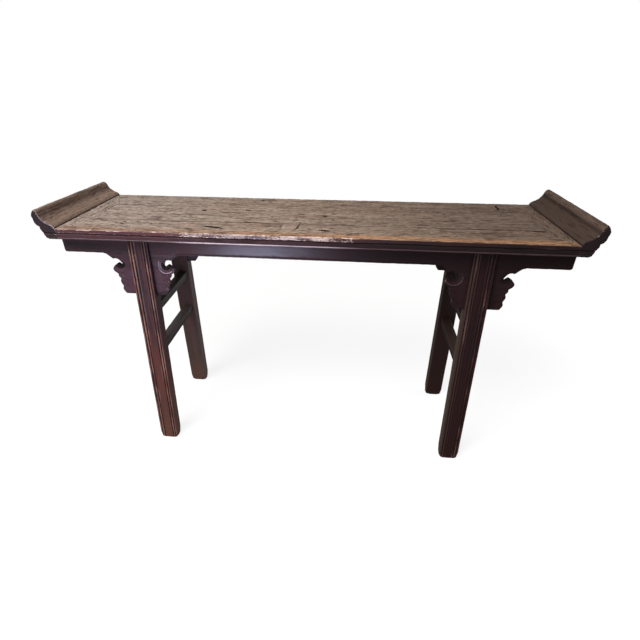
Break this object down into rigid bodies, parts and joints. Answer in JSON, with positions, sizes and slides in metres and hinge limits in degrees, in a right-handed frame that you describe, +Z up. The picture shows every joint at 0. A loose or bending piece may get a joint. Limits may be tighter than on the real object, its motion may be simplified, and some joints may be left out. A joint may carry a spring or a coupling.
{
  "type": "chinese altar table",
  "caption": "Recessed-leg altar table with everted end flanges, carved cloud spandrels and splayed moulded legs joined in pairs by stretchers.",
  "frame": {"origin": "on the floor under the middle of the table", "axes": "+X along the table to its right end, +Y from the front edge to the back, +Z up"},
  "size_m": [1.656, 0.418, 0.9166],
  "materials": {
    "weathered_top": "dry weathered grain, worn bare and grey, warmer along the front edge",
    "patch_wood": "let-in repair patch, planed flush and worn with the top",
    "worn_flange": "dull worn lacquer over open grain, rubbed warmer on the crests",
    "dark_lacquer": "old dark plum-brown lacquer, satin, rubbed through on beads and arrises",
    "bare_wood": "plain unfinished wood, dusty"
  },
  "bodies": {
    "root": {"front_top_rail": "weathered_top", "rear_top_rail": "weathered_top", "left_end_rail": "weathered_top", "right_end_rail": "weathered_top", "front_top_board": "weathered_top", "rear_top_board": "weathered_top", "top_patch": "patch_wood", "cross_batten_1": "bare_wood", "cross_batten_2": "bare_wood", "cross_batten_3": "bare_wood", "cross_batten_4": "bare_wood", "left_flange": "worn_flange", "right_flange": "worn_flange", "flange_pegs": "bare_wood", "frame_corner_pegs": "bare_wood", "front_apron": "dark_lacquer", "rear_apron": "dark_lacquer", "left_end_apron": "dark_lacquer", "right_end_apron": "dark_lacquer", "front_left_spandrel": "dark_lacquer", "front_left_leg": "dark_lacquer", "front_right_spandrel": "dark_lacquer", "front_right_leg": "dark_lacquer", "rear_left_spandrel": "dark_lacquer", "rear_left_leg": "dark_lacquer", "rear_right_spandrel": "dark_lacquer", "rear_right_leg": "dark_lacquer", "left_upper_stretcher": "dark_lacquer", "left_lower_stretcher": "dark_lacquer", "right_upper_stretcher": "dark_lacquer", "right_lower_stretcher": "dark_lacquer"}
  },
  "joints": []
}
